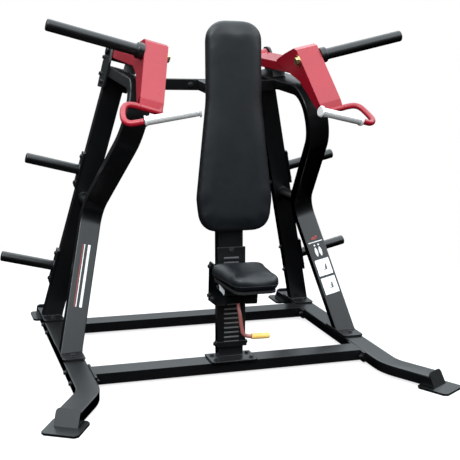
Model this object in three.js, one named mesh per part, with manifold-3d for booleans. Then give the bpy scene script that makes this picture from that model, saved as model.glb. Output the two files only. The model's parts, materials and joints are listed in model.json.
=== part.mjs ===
// Plate-loaded chest press machine with two independent converging lever arms.
// Units are millimetres, +X is the sitter's left (the right side seen from the front), +Z is up,
// and the front of the machine faces -Y.
//
// Each side frame leans inwards. Its pieces are built in a flat frame of their own:
// u points outwards across the frame, t points to the rear and v points up along the leaned frame.

import * as THREE from 'three';
import { mergeVertices } from 'three/addons/utils/BufferGeometryUtils.js';
import Module from 'manifold-3d';

const wasm = await Module();
wasm.setup();

// ---- Driving dimensions ----
const GAP = 0.3; // clearance kept between touching pieces
const SIDE_LEAN = 0.242; // inward lean of both side frames, radians
const TUBE_WIDTH = 100;
const TUBE_DEPTH = 50;
const TUBE_EDGE = 6; // corner radius of the rectangular tube
const PLATE = 10; // thickness of base plates and flanges

const RAIL_X = 692; // centre of each floor rail
const RAIL_BOTTOM = 10;
const RAIL_TOP = RAIL_BOTTOM + TUBE_DEPTH;
const RAIL_BEND_Y = -175;
const RAIL_SPLAY = Math.PI / 6;
const RAIL_BEND_RADIUS = 200;
const RAIL_FRONT_REACH = 231; // from the bend to the top edge of the slanted front end
const RAIL_REAR_Y = 1092; // top edge of the slanted rear end
const END_SLANT = 27; // how far a rail's end runs out from its top edge to its bottom edge
const FOOT_SIZE = 150;
const FRONT_FOOT_REACH = 262; // from the bend to the middle of the front foot
const REAR_FOOT_Y = 1103;

const FRONT_BAR_Y = 0;
const REAR_BAR_Y = 725;

// Front face of the front upright and arch in (t, v), with the bend radius of that face.
const FRONT_FACE = [
  [271, -6, 0],
  [554, 632, 100],
  [138, 1030, 220],
  [138, 1272, 140],
  [290, 1280, 400],
  [789, 1317, 0],
];
const REAR_FACE_T = 878.5; // front face of the rear upright at v = 0
const REAR_SLOPE = 0.113; // forward lean of the rear upright
const REAR_TOP_CLEAR = 1;

const BRACE_V = 650;
const BRACE_RADIUS = 30;
const STORAGE_HORN_V = { upper: 783, lower: 270 };
const HORN_RADIUS = 25;
const STORAGE_HORN_TIP = 323;
const LEVER_HORN_TIP = 463;

const PIVOT_T = 775;
const PIVOT_V = 1385;
const SHAFT_RADIUS = 12.5;
const HUB_RADIUS = 34;
const LEVER_HALF_WIDTH = 47;
const LEVER_DEPTH = 48;
const LEVER_UNDERSIDE = [
  [5, 1175, 0],
  [200, 1325, 90],
  [800, 1358, 0],
];
const LEVER_SLOPE = Math.atan(33 / 600);
const YOKE_INNER = -54; // front plate and cheeks of the lever arm, across the frame
const YOKE_OUTER = 48;
const CHEEK = 7;
const HORN_T = 115;
const HORN_V = 1394;
const STOP_T = 510;
const STOP_RADIUS = 29;

// Welded cross tube under the front plate, and the centre line of the handle tube, in (u, t, v).
const CROSS_TUBE_START = [-54, -28, 1166];
const CROSS_TUBE_END = [48, -50, 1169];
const HANDLE_PATH = [
  [48.6, -50.1, 1169],
  [68, -54.3, 1169.6],
  [92, -60, 1167],
  [108, -68, 1160],
  [117, -82, 1149],
  [122, -104, 1134],
  [123.5, -134, 1117],
  [121, -157, 1105],
  [112, -172, 1099],
  [98, -180, 1099],
  [78, -188, 1107],
  [52, -197, 1120],
];
const HANDLE_RADIUS = 13;
const GRIP_START = [50, -197.7, 1121.3];
const GRIP_END = [-141, -245, 1212];
const GRIP_RADIUS = 18.5;

const TIE_Y = 490;
const TIE_BOTTOM = 1247;
const TIE_TOP = TIE_BOTTOM + TUBE_DEPTH;

// The centre post, back rest and seat stand together in a column with its own depth.
const COLUMN_Y = -8;
const POST_SLOPE = 0.0817; // backward lean of the centre post
const LADDER_FACE_Y = 43.3; // front face of the slotted plate, projected down to the floor
const LADDER_THICKNESS = 10;
const LADDER_HALF_WIDTH = 67;
const LADDER_BOTTOM = 116;
const LADDER_TOP = 572;
const SLOT_COUNT = 19;
const SLOT_PITCH = 21.3;
const SLOT_FIRST = 141;
const SLOT_WIDTH = 70;
const SLOT_HEIGHT = 8;
const POST_HALF_WIDTH = 59;
const POST_DEPTH = 55;
const BEAM_DROP = 0.08; // forward slope of the centre beam

const BACK_FACE_Y = 35; // front face of the back pad at its reference height
const BACK_REFERENCE_Z = 781;
const BACK_SLOPE = 0.1;
const BACK_PAD_THICKNESS = 50;
const BOARD_THICKNESS = 12;

const SEAT_TOP = 525;
const SEAT_BOTTOM = 457;
const SEAT_FRONT_Y = -265;
const SEAT_REAR_Y = 25;
const CARRIAGE_HALF_WIDTH = 74;
const CARRIAGE_PLATE = 6;
const LATCH_PIN_Y = -35;
const LATCH_PIN_Z = 372;
const LATCH_PIN_RADIUS = 6;

// ---- Materials ----
const finishes = {
  frame: { color: 0x1b1e20, roughness: 0.45, metalness: 0.3 },
  arm: { color: 0xb0283a, roughness: 0.4, metalness: 0.2 },
  vinyl: { color: 0x30363a, roughness: 0.6, metalness: 0 },
  board: { color: 0x1f2022, roughness: 0.8, metalness: 0 },
  chrome: { color: 0xc9ccce, roughness: 0.15, metalness: 1 },
  zinc: { color: 0xb9a469, roughness: 0.35, metalness: 0.9 },
  rubber: { color: 0x17181a, roughness: 0.85, metalness: 0 },
  lever: { color: 0x7a4045, roughness: 0.4, metalness: 0.3 },
  yellow: { color: 0xe8c870, roughness: 0.45, metalness: 0 },
  nylon: { color: 0x8f9294, roughness: 0.55, metalness: 0 },
  placard: { color: 0xb8bcc0, roughness: 0.5, metalness: 0.1 },
};

function piece(name, geometry, finish) {
  const mesh = new THREE.Mesh(geometry, new THREE.MeshStandardMaterial(finishes[finish]));
  mesh.name = name;
  return mesh;
}

// ---- Solid helpers ----
function signedVolume(positions) {
  let total = 0;
  const a = new THREE.Vector3();
  const b = new THREE.Vector3();
  const c = new THREE.Vector3();
  for (let i = 0; i < positions.count; i += 3) {
    a.fromBufferAttribute(positions, i);
    b.fromBufferAttribute(positions, i + 1);
    c.fromBufferAttribute(positions, i + 2);
    total += a.dot(b.cross(c)) / 6;
  }
  return total;
}

// Plain triangles whose faces point outwards.
function outward(geometry) {
  const plain = geometry.index ? geometry.toNonIndexed() : geometry.clone();
  plain.deleteAttribute('uv');
  plain.deleteAttribute('normal');
  const positions = plain.attributes.position;
  if (signedVolume(positions) < 0) {
    const swap = new THREE.Vector3();
    const keep = new THREE.Vector3();
    for (let i = 0; i < positions.count; i += 3) {
      swap.fromBufferAttribute(positions, i + 1);
      keep.fromBufferAttribute(positions, i + 2);
      positions.setXYZ(i + 1, keep.x, keep.y, keep.z);
      positions.setXYZ(i + 2, swap.x, swap.y, swap.z);
    }
  }
  return mergeVertices(plain, 1e-3);
}

function toSolid(geometry) {
  const merged = outward(geometry);
  return new wasm.Manifold(new wasm.Mesh({
    numProp: 3,
    vertProperties: new Float32Array(merged.attributes.position.array),
    triVerts: new Uint32Array(merged.index.array),
  }));
}

function fromSolid(solid) {
  const mesh = solid.getMesh();
  const geometry = new THREE.BufferGeometry();
  geometry.setAttribute('position', new THREE.BufferAttribute(new Float32Array(mesh.vertProperties), 3));
  geometry.setIndex(new THREE.BufferAttribute(new Uint32Array(mesh.triVerts), 1));
  return geometry;
}

function join(...geometries) {
  return fromSolid(geometries.map(toSolid).reduce((whole, next) => whole.add(next)));
}

function cut(body, ...tools) {
  return fromSolid(tools.map(toSolid).reduce((rest, tool) => rest.subtract(tool), toSolid(body)));
}

function box(xRange, yRange, zRange) {
  const size = [xRange, yRange, zRange].map(([low, high]) => high - low);
  const middle = [xRange, yRange, zRange].map(([low, high]) => (high + low) / 2);
  return new THREE.BoxGeometry(...size).translate(...middle);
}

// ---- Outline helpers ----
function shapeOf(points) {
  return new THREE.Shape(points.map(([x, y]) => new THREE.Vector2(x, y)));
}

// Corners with a radius become arcs; the list runs along an open path of [x, y, radius].
function roundedPath(vertices) {
  const points = [];
  vertices.forEach(([x, y, radius], i) => {
    if (!radius || i === 0 || i === vertices.length - 1) {
      points.push([x, y]);
      return;
    }
    const here = new THREE.Vector2(x, y);
    const back = new THREE.Vector2(...vertices[i - 1].slice(0, 2)).sub(here).normalize();
    const ahead = new THREE.Vector2(...vertices[i + 1].slice(0, 2)).sub(here).normalize();
    const half = Math.acos(THREE.MathUtils.clamp(back.dot(ahead), -1, 1)) / 2;
    const start = here.clone().addScaledVector(back, radius / Math.tan(half));
    const centre = here.clone().addScaledVector(back.clone().add(ahead).normalize(), radius / Math.sin(half));
    const sweep = (Math.PI - 2 * half) * Math.sign(back.clone().negate().cross(ahead));
    const steps = Math.max(1, Math.ceil(Math.abs(sweep) / 0.16));
    for (let k = 0; k <= steps; k += 1) {
      const point = start.clone().rotateAround(centre, (sweep * k) / steps);
      points.push([point.x, point.y]);
    }
  });
  return points;
}

// The path moved sideways by a distance, positive to the right of its direction of travel.
function offsetPath(vertices, distance) {
  const at = (i) => new THREE.Vector2(vertices[i][0], vertices[i][1]);
  return vertices.map(([x, y, radius], i) => {
    const before = i > 0 ? at(i).sub(at(i - 1)).normalize() : at(1).sub(at(0)).normalize();
    const after = i < vertices.length - 1 ? at(i + 1).sub(at(i)).normalize() : before;
    const normal = new THREE.Vector2(before.y + after.y, -before.x - after.x).normalize();
    const reach = distance / (normal.x * before.y - normal.y * before.x);
    const bend = radius ? radius + distance * Math.sign(before.cross(after)) : 0;
    return [x + normal.x * reach, y + normal.y * reach, bend];
  });
}

// Closed outline of a bent bar between two offsets of a face path.
function barOutline(facePath, from, to) {
  const near = roundedPath(offsetPath(facePath, from));
  const far = roundedPath(offsetPath(facePath, to));
  return [...near, ...far.reverse()];
}

function extruded(points, depth, edge = 0) {
  const bevel = { bevelEnabled: edge > 0, bevelThickness: edge, bevelSize: edge, bevelOffset: -edge };
  const geometry = new THREE.ExtrudeGeometry(shapeOf(points), {
    depth: depth - 2 * edge, bevelSegments: 2, ...bevel,
  });
  return geometry.translate(0, 0, edge);
}

// Outline in (t, v), thickness along u.
function acrossSide(points, uFrom, uTo, edge = 0) {
  const turn = new THREE.Matrix4().makeBasis(
    new THREE.Vector3(0, 1, 0), new THREE.Vector3(0, 0, 1), new THREE.Vector3(1, 0, 0));
  return extruded(points, uTo - uFrom, edge).applyMatrix4(turn).translate(uFrom, 0, 0);
}

// Outline in (x, y), thickness upwards.
function upwards(points, zFrom, zTo, edge = 0) {
  return extruded(points, zTo - zFrom, edge).translate(0, 0, zFrom);
}

// Profile of [radius, distance along u] turned about the u axis.
function turned(profile, segments = 32) {
  const points = profile.map(([radius, along]) => new THREE.Vector2(radius, along));
  return new THREE.LatheGeometry(points, segments).rotateZ(-Math.PI / 2);
}

function chamferedRod(radius, from, to, chamfer, segments = 32) {
  return turned([
    [0, from],
    [radius, from],
    [radius, to - chamfer],
    [radius - chamfer, to],
    [0, to],
  ], segments);
}

function alongLine(geometryAboutU, start, end) {
  const from = new THREE.Vector3(...start);
  const direction = new THREE.Vector3(...end).sub(from).normalize();
  const turn = new THREE.Quaternion().setFromUnitVectors(new THREE.Vector3(1, 0, 0), direction);
  return geometryAboutU.applyQuaternion(turn).translate(...start);
}

function sweptRod(points, radius, steps) {
  const route = new THREE.CatmullRomCurve3(points.map((p) => new THREE.Vector3(...p)), false, 'centripetal');
  const section = new THREE.Shape();
  section.absarc(0, 0, radius, 0, 2 * Math.PI);
  return new THREE.ExtrudeGeometry(section, { extrudePath: route, steps, curveSegments: 7 });
}

// ---- Side frames ----
// A box in the machine's own axes, seen from inside a right-hand side frame.
function levelBox(xRange, yRange, zRange) {
  return box(xRange, yRange, zRange).translate(-RAIL_X, 0, -RAIL_TOP).rotateY(SIDE_LEAN);
}

const belowBasePlate = () => levelBox([0, 1400], [-400, 1400], [-200, RAIL_TOP + PLATE + 2 * GAP]);

const faceAt = (v) => REAR_FACE_T - REAR_SLOPE * v;

function frontUpright() {
  const outline = barOutline(FRONT_FACE, 0, TUBE_DEPTH);
  return cut(acrossSide(outline, -TUBE_WIDTH / 2, TUBE_WIDTH / 2, TUBE_EDGE), belowBasePlate());
}

function rearUprightOutline(grow) {
  const [, , , , archStart, archEnd] = offsetPath(FRONT_FACE, TUBE_DEPTH + REAR_TOP_CLEAR);
  const slope = (archEnd[1] - archStart[1]) / (archEnd[0] - archStart[0]);
  const underArch = (t) => archStart[1] + slope * (t - archStart[0]);
  const top = underArch(faceAt(1250));
  return [
    [faceAt(-20) - grow, -20],
    [faceAt(-20) + TUBE_DEPTH + grow, -20],
    [faceAt(top) + TUBE_DEPTH + grow, underArch(faceAt(top) + TUBE_DEPTH)],
    [faceAt(top) - grow, top],
  ];
}

function rearUpright() {
  const bar = acrossSide(rearUprightOutline(0), -TUBE_WIDTH / 2, TUBE_WIDTH / 2, TUBE_EDGE);
  return cut(bar, belowBasePlate());
}

function roundBrace() {
  const rod = chamferedRod(BRACE_RADIUS, 520, 860, 0).rotateZ(Math.PI / 2).translate(0, 0, BRACE_V);
  const front = acrossSide(barOutline(FRONT_FACE, -GAP, TUBE_DEPTH + GAP), -60, 60);
  const rear = acrossSide(rearUprightOutline(GAP), -60, 60);
  const trimmed = toSolid(rod).subtract(toSolid(front)).subtract(toSolid(rear));
  const middle = trimmed.decompose().find((solid) => {
    const { min, max } = solid.boundingBox();
    return (min[1] + max[1]) / 2 > 600 && (min[1] + max[1]) / 2 < 800;
  });
  return fromSolid(middle);
}

// Horizontal plate on top of a floor rail, with its front corners cut off.
function basePlate(yFront, yRear) {
  const half = TUBE_WIDTH / 2 + 2;
  const corner = 11;
  const outline = [
    [-half, yFront + corner],
    [-half + corner, yFront],
    [half - corner, yFront],
    [half, yFront + corner],
    [half, yRear],
    [-half, yRear],
  ];
  return upwards(outline, RAIL_TOP + GAP, RAIL_TOP + PLATE);
}

function storageHorn(v) {
  const from = TUBE_WIDTH / 2 + GAP;
  const flange = box([from, from + PLATE], [-30, 30], [-90, 90]).rotateX(Math.atan(REAR_SLOPE));
  const rod = chamferedRod(HORN_RADIUS, from, STORAGE_HORN_TIP, 4);
  return join(flange, rod).translate(0, faceAt(v) + TUBE_DEPTH / 2, v);
}

function pivotEar(uFrom) {
  const outline = roundedPath([
    [770, 1205, 0],
    [694, 1205, 12],
    [694, 1330, 30],
    [735, 1426, 34],
    [815, 1426, 34],
    [853, 1330, 30],
    [840, 1205, 12],
    [770, 1205, 0],
  ]).slice(0, -1);
  const plate = acrossSide(outline, uFrom, uFrom + PLATE);
  const hole = chamferedRod(SHAFT_RADIUS + GAP, -90, 90, 0).translate(0, PIVOT_T, PIVOT_V);
  return cut(plate, hole);
}

function pivotShaft() {
  const inner = TUBE_WIDTH / 2 + PLATE + 2 * GAP;
  const profile = [
    [0, -inner - 12],
    [21, -inner - 12],
    [21, -inner],
    [SHAFT_RADIUS, -inner],
    [SHAFT_RADIUS, inner],
    [21, inner],
    [21, inner + 12],
    [0, inner + 12],
  ];
  return turned(profile).translate(0, PIVOT_T, PIVOT_V);
}

function stopBumper() {
  const lift = Math.tan(LEVER_SLOPE) * (STOP_T - LEVER_UNDERSIDE[1][0]);
  const top = LEVER_UNDERSIDE[1][1] + lift - 2 * GAP;
  const height = top - 1300.5;
  const profile = [
    [0, -height],
    [STOP_RADIUS, -height],
    [STOP_RADIUS, -6],
    [STOP_RADIUS - 6, 0],
    [0, 0],
  ];
  return turned(profile).rotateY(-Math.PI / 2).rotateX(LEVER_SLOPE).translate(-6, STOP_T, top);
}

// ---- Lever arms ----
function leverArm() {
  const tube = acrossSide(
    barOutline(LEVER_UNDERSIDE, -LEVER_DEPTH, 0), -LEVER_HALF_WIDTH, LEVER_HALF_WIDTH, TUBE_EDGE);
  const plateFace = [[-44, 1163, 0], [-31, 1208, 18], [119, 1442, 0]];
  const frontPlate = acrossSide(barOutline(plateFace, 0, 8), YOKE_INNER, YOKE_OUTER);
  const topFlange = acrossSide([
    [116, 1437],
    [122, 1443],
    [152, 1450],
    [152, 1442],
    [124, 1434],
  ], YOKE_INNER, YOKE_OUTER);
  const gusset = [
    [386, 1378],
    [386, 1392],
    [268, 1424],
    [151, 1449],
    [118, 1438],
    [-26, 1212],
    [8, 1180],
    [150, 1300],
  ];
  const cheeks = [YOKE_INNER, YOKE_OUTER - CHEEK].map((u) => acrossSide(gusset, u, u + CHEEK + 1));
  const hub = chamferedRod(HUB_RADIUS, -LEVER_HALF_WIDTH, LEVER_HALF_WIDTH, 0)
    .translate(0, PIVOT_T, PIVOT_V);
  const bore = chamferedRod(SHAFT_RADIUS + GAP, -90, 90, 0).translate(0, PIVOT_T, PIVOT_V);
  const crossLength = new THREE.Vector3(...CROSS_TUBE_START)
    .distanceTo(new THREE.Vector3(...CROSS_TUBE_END));
  const crossTube = alongLine(
    chamferedRod(HANDLE_RADIUS, 0, crossLength, 0), CROSS_TUBE_START, CROSS_TUBE_END);
  return cut(join(tube, frontPlate, topFlange, ...cheeks, hub, crossTube), bore);
}

function weightHorn() {
  const from = YOKE_OUTER + 1 + GAP;
  const profile = [
    [0, from],
    [35, from],
    [35, 76],
    [31, 80],
    [HORN_RADIUS, 80],
    [HORN_RADIUS, LEVER_HORN_TIP - 4],
    [HORN_RADIUS - 4, LEVER_HORN_TIP],
    [0, LEVER_HORN_TIP],
  ];
  return turned(profile).translate(0, HORN_T, HORN_V);
}

function hornBolt() {
  const from = YOKE_INNER - GAP;
  const washer = chamferedRod(24, from - 4, from, 0);
  const head = chamferedRod(18, from - 15, from - 3, 0, 6);
  return join(washer, head).translate(0, HORN_T, HORN_V);
}

function grip() {
  const length = new THREE.Vector3(...GRIP_START).distanceTo(new THREE.Vector3(...GRIP_END));
  const collar = GRIP_RADIUS + 4;
  const profile = [
    [0, GAP],
    [collar, GAP],
    [collar, 6],
    [GRIP_RADIUS, 8],
    [GRIP_RADIUS, length],
    [0, length],
  ];
  return alongLine(turned(profile), GRIP_START, GRIP_END);
}

function gripCap() {
  const profile = [
    [0, GAP],
    [24, GAP],
    [24, 5],
    [20, 9],
    [0, 9],
  ];
  const ahead = GRIP_END.map((value, i) => 2 * value - GRIP_START[i]);
  return alongLine(turned(profile), GRIP_END, ahead);
}

// ---- Floor frame ----
function slantCutter(reach) {
  const outline = [
    [reach, RAIL_TOP],
    [reach + END_SLANT, RAIL_BOTTOM],
    [reach + END_SLANT, RAIL_BOTTOM - 20],
    [reach + 200, RAIL_BOTTOM - 20],
    [reach + 200, RAIL_TOP + 20],
    [reach, RAIL_TOP + 20],
  ];
  return acrossSide(outline, -90, 90);
}

function floorRail(side) {
  const bend = [RAIL_X, RAIL_BEND_Y, RAIL_BEND_RADIUS];
  const front = RAIL_FRONT_REACH + END_SLANT;
  const path = [
    [RAIL_X, RAIL_REAR_Y + END_SLANT, 0],
    bend,
    [RAIL_X + front * Math.sin(RAIL_SPLAY), RAIL_BEND_Y - front * Math.cos(RAIL_SPLAY), 0],
  ];
  const half = TUBE_WIDTH / 2;
  const bar = upwards(barOutline(path, -half, half), RAIL_BOTTOM + GAP, RAIL_TOP, TUBE_EDGE);
  const rearCut = slantCutter(RAIL_REAR_Y).translate(RAIL_X, 0, 0);
  const frontCut = slantCutter(RAIL_FRONT_REACH)
    .rotateZ(RAIL_SPLAY - Math.PI)
    .translate(RAIL_X, RAIL_BEND_Y, 0);
  const rail = cut(bar, rearCut, frontCut);
  return side > 0 ? rail : rail.scale(-1, 1, 1);
}

// Flat foot with the slanted plate that closes the rail's end; y runs outwards along the rail.
function foot(endReach, middle) {
  const half = FOOT_SIZE / 2;
  const corner = 14;
  const outline = [
    [-half + corner, middle - half],
    [half - corner, middle - half],
    [half, middle - half + corner],
    [half, middle + half - corner],
    [half - corner, middle + half],
    [-half + corner, middle + half],
    [-half, middle + half - corner],
    [-half, middle - half + corner],
  ];
  const plate = upwards(outline, 0, RAIL_BOTTOM);
  const slant = Math.hypot(END_SLANT, TUBE_DEPTH);
  const round = 18;
  const [low, high] = [-6, 70];
  const closing = extruded(roundedPath([
    [-TUBE_WIDTH / 2, low, 0],
    [-TUBE_WIDTH / 2, high, round],
    [TUBE_WIDTH / 2, high, round],
    [TUBE_WIDTH / 2, low, 0],
  ]), 6);
  const leaned = new THREE.Matrix4().makeBasis(
    new THREE.Vector3(1, 0, 0),
    new THREE.Vector3(0, -END_SLANT, TUBE_DEPTH).divideScalar(slant),
    new THREE.Vector3(0, TUBE_DEPTH, END_SLANT).divideScalar(slant));
  closing.applyMatrix4(leaned).translate(0, endReach + END_SLANT + 2 * GAP, RAIL_BOTTOM - 1);
  return join(plate, closing);
}

function crossbar(yFront) {
  const reach = RAIL_X - TUBE_WIDTH / 2 - GAP;
  const middle = yFront + TUBE_WIDTH / 2;
  const bar = new THREE.BoxGeometry(2 * reach - 2, TUBE_WIDTH, TUBE_DEPTH)
    .translate(0, middle, RAIL_BOTTOM + TUBE_DEPTH / 2);
  const flanges = [-1, 1].map((side) => box(
    [side * reach, side * (reach - PLATE)].sort((a, b) => a - b),
    [middle - 88, middle + 88],
    [RAIL_BOTTOM + 1, RAIL_TOP - 1]));
  return join(bar, ...flanges);
}

// ---- Upper frame and post ----
const ladderFace = (z) => LADDER_FACE_Y + POST_SLOPE * z;
const postFace = (z) => ladderFace(z) + LADDER_THICKNESS + GAP;
const backFace = (z) => BACK_FACE_Y + BACK_SLOPE * (z - BACK_REFERENCE_Z);

// A leaning slab between two depth functions of the height.
function leaningSlab(near, far, halfWidth, zFrom, zTo, edge = 0) {
  return acrossSide([
    [near(zFrom), zFrom],
    [far(zFrom), zFrom],
    [far(zTo), zTo],
    [near(zTo), zTo],
  ], -halfWidth, halfWidth, edge);
}

function innerFaceX(z) {
  const u = -TUBE_WIDTH / 2;
  const v = (z - RAIL_TOP - u * Math.sin(SIDE_LEAN)) / Math.cos(SIDE_LEAN);
  return RAIL_X + u * Math.cos(SIDE_LEAN) - v * Math.sin(SIDE_LEAN) - 2 * GAP;
}

function topTie() {
  const low = innerFaceX(TIE_BOTTOM);
  const high = innerFaceX(TIE_TOP);
  const outline = [
    [-low, TIE_BOTTOM],
    [low, TIE_BOTTOM],
    [high, TIE_TOP],
    [-high, TIE_TOP],
  ];
  return extruded(outline, TUBE_WIDTH).rotateX(Math.PI / 2).translate(0, TIE_Y + TUBE_WIDTH, 0);
}

const beamUnderside = (y) => TIE_BOTTOM - BEAM_DROP * (TIE_Y - y);

// Height where a line that leans like the post, and starts at y on the floor, meets the beam.
const underBeam = (y) => (beamUnderside(y + COLUMN_Y) - GAP) / (1 - BEAM_DROP * POST_SLOPE);

function centreBeam() {
  const half = TUBE_WIDTH / 2;
  const front = COLUMN_Y + postFace(underBeam(postFace(0))) - 2;
  return acrossSide([
    [front, beamUnderside(front)],
    [TIE_Y - GAP, TIE_BOTTOM],
    [TIE_Y - GAP, TIE_TOP],
    [front, beamUnderside(front) + TUBE_DEPTH],
  ], -half, half, TUBE_EDGE);
}

function centrePost() {
  const bottom = RAIL_TOP + PLATE + 2 * GAP;
  const frontTop = underBeam(postFace(0));
  const rearTop = underBeam(postFace(0) + POST_DEPTH);
  return acrossSide([
    [postFace(bottom), bottom],
    [postFace(bottom) + POST_DEPTH, bottom],
    [postFace(rearTop) + POST_DEPTH, rearTop],
    [postFace(frontTop), frontTop],
  ], -POST_HALF_WIDTH, POST_HALF_WIDTH, 4);
}

function postBasePlate() {
  const outline = [
    [-109, 2],
    [-99, -8],
    [99, -8],
    [109, 2],
    [109, 116],
    [-109, 116],
  ];
  return upwards(outline, RAIL_TOP + GAP, RAIL_TOP + PLATE);
}

function slottedPlate() {
  const rear = (z) => ladderFace(z) + LADDER_THICKNESS;
  const plate = leaningSlab(ladderFace, rear, LADDER_HALF_WIDTH, LADDER_BOTTOM, LADDER_TOP);
  const slots = Array.from({ length: SLOT_COUNT }, (_, i) => {
    const z = SLOT_FIRST + i * SLOT_PITCH;
    const y = ladderFace(z);
    return box(
      [-SLOT_WIDTH / 2, SLOT_WIDTH / 2],
      [y - 10, y + 30],
      [z - SLOT_HEIGHT / 2, z + SLOT_HEIGHT / 2]);
  });
  return cut(plate, ...slots);
}

// ---- Back rest ----
// Half of the front outline from the top middle down to the bottom middle, as [x, z, radius].
function backOutline(inset) {
  const half = [
    [0, 1572 - inset, 0],
    [131 - inset, 1572 - inset, 88 - inset],
    [131 - inset, 1228, 300],
    [178 - inset, 800, 120],
    [160 - inset, 655 + inset, 85 - inset],
    [0, 655 + inset, 0],
  ];
  const right = roundedPath(half);
  const left = right.slice(1, -1).reverse().map(([x, z]) => [-x, z]);
  return [...right, ...left];
}

// A board of that outline, leaned back, between two depths behind the pad's face.
function backSlab(inset, near, far, edge) {
  const lean = Math.atan(BACK_SLOPE);
  return extruded(backOutline(inset), far - near, edge)
    .translate(0, -BACK_REFERENCE_Z, 0)
    .rotateX(Math.PI / 2)
    .translate(0, far, 0)
    .rotateX(-lean)
    .translate(0, BACK_FACE_Y, BACK_REFERENCE_Z);
}

function backBracket(zFrom, zTo) {
  const near = (z) => backFace(z) + BACK_PAD_THICKNESS + BOARD_THICKNESS + 3;
  const far = (z) => postFace(z) - GAP;
  return leaningSlab(near, far, 45, zFrom, zTo);
}

// ---- Seat ----
function seatOutline(inset) {
  const half = [
    [0, SEAT_REAR_Y - inset, 0],
    [124 - inset, SEAT_REAR_Y - inset, 40 - inset],
    [99 - inset, SEAT_FRONT_Y + inset, 44 - inset],
    [0, SEAT_FRONT_Y + inset, 0],
  ];
  const right = roundedPath(half);
  const left = right.slice(1, -1).reverse().map(([x, y]) => [-x, y]);
  return [...right, ...left];
}

function seatCarriage() {
  const top = SEAT_BOTTOM - BOARD_THICKNESS - GAP;
  const sideOutline = [
    [188, 303],
    [188, 478],
    [176, 490],
    [118, 490],
    [48, top],
    [-215, top],
    [-215, top - 10],
    [-66, 392],
    [-60, 346],
    [68, 308],
  ];
  const inner = CARRIAGE_HALF_WIDTH - CARRIAGE_PLATE;
  const sides = [-CARRIAGE_HALF_WIDTH, inner]
    .map((x) => acrossSide(sideOutline, x, x + CARRIAGE_PLATE));
  const shelf = box([-CARRIAGE_HALF_WIDTH + 1, CARRIAGE_HALF_WIDTH - 1], [-214, 48], [top - 8, top]);
  const rearWeb = box([-CARRIAGE_HALF_WIDTH + 1, CARRIAGE_HALF_WIDTH - 1], [172, 180], [306, 398]);
  const frontWeb = box([-CARRIAGE_HALF_WIDTH + 1, CARRIAGE_HALF_WIDTH - 1], [-66, -60], [355, 394]);
  const underside = acrossSide([
    [-62, 391],
    [-214, top - 10],
    [-214, top - 4],
    [-62, 398],
  ], -CARRIAGE_HALF_WIDTH + 1, CARRIAGE_HALF_WIDTH - 1);
  const pin = chamferedRod(LATCH_PIN_RADIUS, -inner - 1, inner + 1, 0, 24)
    .translate(0, LATCH_PIN_Y, LATCH_PIN_Z);
  return join(...sides, shelf, rearWeb, frontWeb, underside, pin);
}

function frontGlide() {
  const near = (z) => ladderFace(z) - 14;
  const far = (z) => ladderFace(z) - 2 * GAP;
  return leaningSlab(near, far, 60, 396, SEAT_BOTTOM - BOARD_THICKNESS - 10);
}

function rearGlide() {
  const near = (z) => postFace(z) + POST_DEPTH + 2 * GAP;
  return leaningSlab(near, () => 172 - GAP, 50, 310, 390);
}

function latchLever() {
  const boss = chamferedRod(14, -30, 2, 0, 28).translate(0, LATCH_PIN_Y, LATCH_PIN_Z);
  const rod = sweptRod([
    [-9, LATCH_PIN_Y - 4, LATCH_PIN_Z - 6],
    [-8, -40, 345],
    [-6.5, -47, 322],
    [-4, -57, 300],
    [0, -60, 270],
    [6, -60, 238],
    [13, -60, 213],
    [28, -60, 201],
    [50, -60, 196],
  ], 8.5, 40);
  const tip = ladderFace(LATCH_PIN_Z) - 2.5;
  const pawl = box([-28, 0], [LATCH_PIN_Y + 6, tip], [LATCH_PIN_Z - 6, LATCH_PIN_Z + 6]);
  const bore = chamferedRod(LATCH_PIN_RADIUS + GAP, -90, 90, 0, 24)
    .translate(0, LATCH_PIN_Y, LATCH_PIN_Z);
  return cut(join(boss, rod, pawl), bore);
}

function latchGrip() {
  return alongLine(chamferedRod(13, 0, 86, 5, 24), [52.5, -60, 196], [138, -60, 194]);
}

// ---- Assembly ----
const machine = new THREE.Group();

function placard(name, v, height) {
  const slope = Math.atan2(FRONT_FACE[1][0] - FRONT_FACE[0][0], FRONT_FACE[1][1] - FRONT_FACE[0][1]);
  const faceT = FRONT_FACE[0][0] + Math.tan(slope) * (v - FRONT_FACE[0][1]);
  const plate = new THREE.BoxGeometry(76, 1.5, height).translate(0, -0.75 - GAP, 0);
  const mesh = piece(name, plate, 'placard');
  mesh.rotation.x = -slope;
  mesh.position.set(0, faceT, v);
  return mesh;
}

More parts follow.
